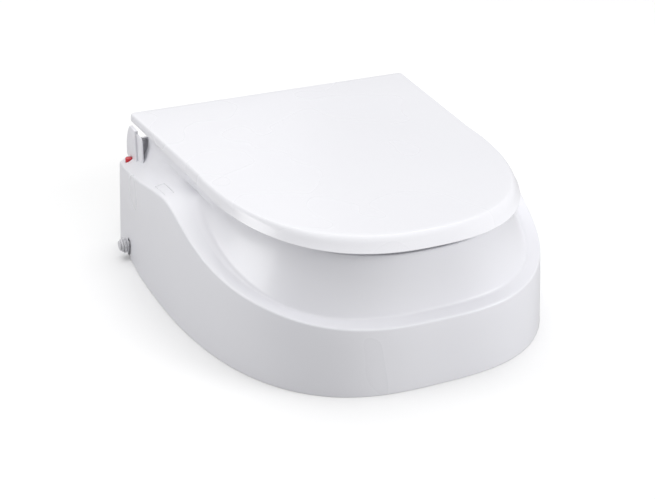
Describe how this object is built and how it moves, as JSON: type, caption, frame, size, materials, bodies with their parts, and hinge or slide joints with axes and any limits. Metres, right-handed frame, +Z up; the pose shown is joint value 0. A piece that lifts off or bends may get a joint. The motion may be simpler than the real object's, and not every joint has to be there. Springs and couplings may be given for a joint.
{
  "type": "raised toilet seat",
  "caption": "Raised toilet seat with a hinged lid and seat ring on a swept plastic shell, height carriage, side clamp knobs and release buttons.",
  "frame": {"origin": "middle of the part's bounding box at its bottom, level with the shell's bottom edge", "axes": "+Z up, -Y towards the rounded front, +X to the part's right as seen from the front"},
  "size_m": [0.4474, 0.4672, 0.1654],
  "materials": {
    "white": "gloss",
    "seat_white": "gloss",
    "frame_grey": "satin",
    "rubber": "matte",
    "pad_grey": "matte",
    "steel": "satin",
    "red": "gloss",
    "knob_white": "satin"
  },
  "bodies": {
    "base": {"hinge_pin_l": "steel", "hinge_pin_r": "steel", "hinge_tower_l": "white", "hinge_tower_r": "white", "return_spring_l": "steel", "return_spring_r": "steel", "shell": "white", "socket_cover_l": "white", "socket_cover_r": "white", "splash_guard": "seat_white", "tower_screw_1_l": "steel", "tower_screw_1_r": "steel", "tower_screw_2_l": "steel", "tower_screw_2_r": "steel"},
    "seat": {"seat": "seat_white", "seat_buffer_front_l": "pad_grey", "seat_buffer_front_r": "pad_grey", "seat_buffer_rear_l": "pad_grey", "seat_buffer_rear_r": "pad_grey"},
    "lid": {"lid": "white", "lid_buffer_front_l": "pad_grey", "lid_buffer_front_r": "pad_grey", "lid_buffer_rear_l": "pad_grey", "lid_buffer_rear_r": "pad_grey"},
    "carriage": {"plate_screw_1_l": "steel", "plate_screw_1_r": "steel", "plate_screw_2_l": "steel", "plate_screw_2_r": "steel", "rim_frame": "frame_grey", "rim_pad_front_l": "rubber", "rim_pad_front_r": "rubber", "rim_pad_rear_l": "rubber", "rim_pad_rear_r": "rubber", "side_plate_l": "frame_grey", "side_plate_r": "frame_grey"},
    "jaw_r": {"jaw_pad_r": "rubber", "jaw_plate_r": "frame_grey"},
    "screw_r": {"clamp_knob_r": "knob_white", "clamp_spindle_r": "steel", "knob_cap_r": "frame_grey"},
    "button_r": {"push_rod_r": "frame_grey", "release_button_r": "red"},
    "pawl_r": {"pawl_r": "steel"},
    "jaw_l": {"jaw_pad_l": "rubber", "jaw_plate_l": "frame_grey"},
    "screw_l": {"clamp_knob_l": "knob_white", "clamp_spindle_l": "steel", "knob_cap_l": "frame_grey"},
    "button_l": {"push_rod_l": "frame_grey", "release_button_l": "red"},
    "pawl_l": {"pawl_l": "steel"}
  },
  "joints": [
    {"name": "seat_hinge", "type": "hinge", "parent": "base", "child": "seat", "pos_m": [0, 0.2236, 0.13], "axis": [-1, 0, 0], "range_deg": [0, 95]},
    {"name": "lid_hinge", "type": "hinge", "parent": "seat", "child": "lid", "pos_m": [0, 0.2236, 0.13], "axis": [-1, 0, 0], "range_deg": [0, 95]},
    {"name": "height_adjust", "type": "slide", "parent": "base", "child": "carriage", "axis": [0, 0, 1], "range_m": [-0.09, 0]},
    {"name": "clamp_slide_r", "type": "slide", "parent": "carriage", "child": "jaw_r", "axis": [1, 0, 0], "range_m": [0, 0.008]},
    {"name": "knob_turn_r", "type": "hinge", "parent": "jaw_r", "child": "screw_r", "pos_m": [0.2, 0.1766, 0.017], "axis": [1, 0, 0], "range_deg": [0, 960.5]},
    {"name": "button_press_r", "type": "slide", "parent": "base", "child": "button_r", "axis": [0, 0, -1], "range_m": [0, 0.005], "stiffness_N_per_m": 400, "springref_m": -0.003, "deforming": ["return_spring_r"]},
    {"name": "pawl_slide_r", "type": "slide", "parent": "base", "child": "pawl_r", "axis": [0, 1, 0], "range_m": [0, 0.005]},
    {"name": "clamp_slide_l", "type": "slide", "parent": "carriage", "child": "jaw_l", "axis": [-1, 0, 0], "range_m": [0, 0.008]},
    {"name": "knob_turn_l", "type": "hinge", "parent": "jaw_l", "child": "screw_l", "pos_m": [-0.2, 0.1766, 0.017], "axis": [-1, 0, 0], "range_deg": [0, 960.5]},
    {"name": "button_press_l", "type": "slide", "parent": "base", "child": "button_l", "axis": [0, 0, -1], "range_m": [0, 0.005], "stiffness_N_per_m": 400, "springref_m": -0.003, "deforming": ["return_spring_l"]},
    {"name": "pawl_slide_l", "type": "slide", "parent": "base", "child": "pawl_l", "axis": [0, 1, 0], "range_m": [0, 0.005]}
  ],
  "couplings": [
    {"joint": "knob_turn_r", "follows": "clamp_slide_r", "rad_per_m": 2094.4},
    {"joint": "pawl_slide_r", "follows": "button_press_r", "ratio": 1},
    {"joint": "knob_turn_l", "follows": "clamp_slide_l", "rad_per_m": 2094.4},
    {"joint": "pawl_slide_l", "follows": "button_press_l", "ratio": 1}
  ]
}
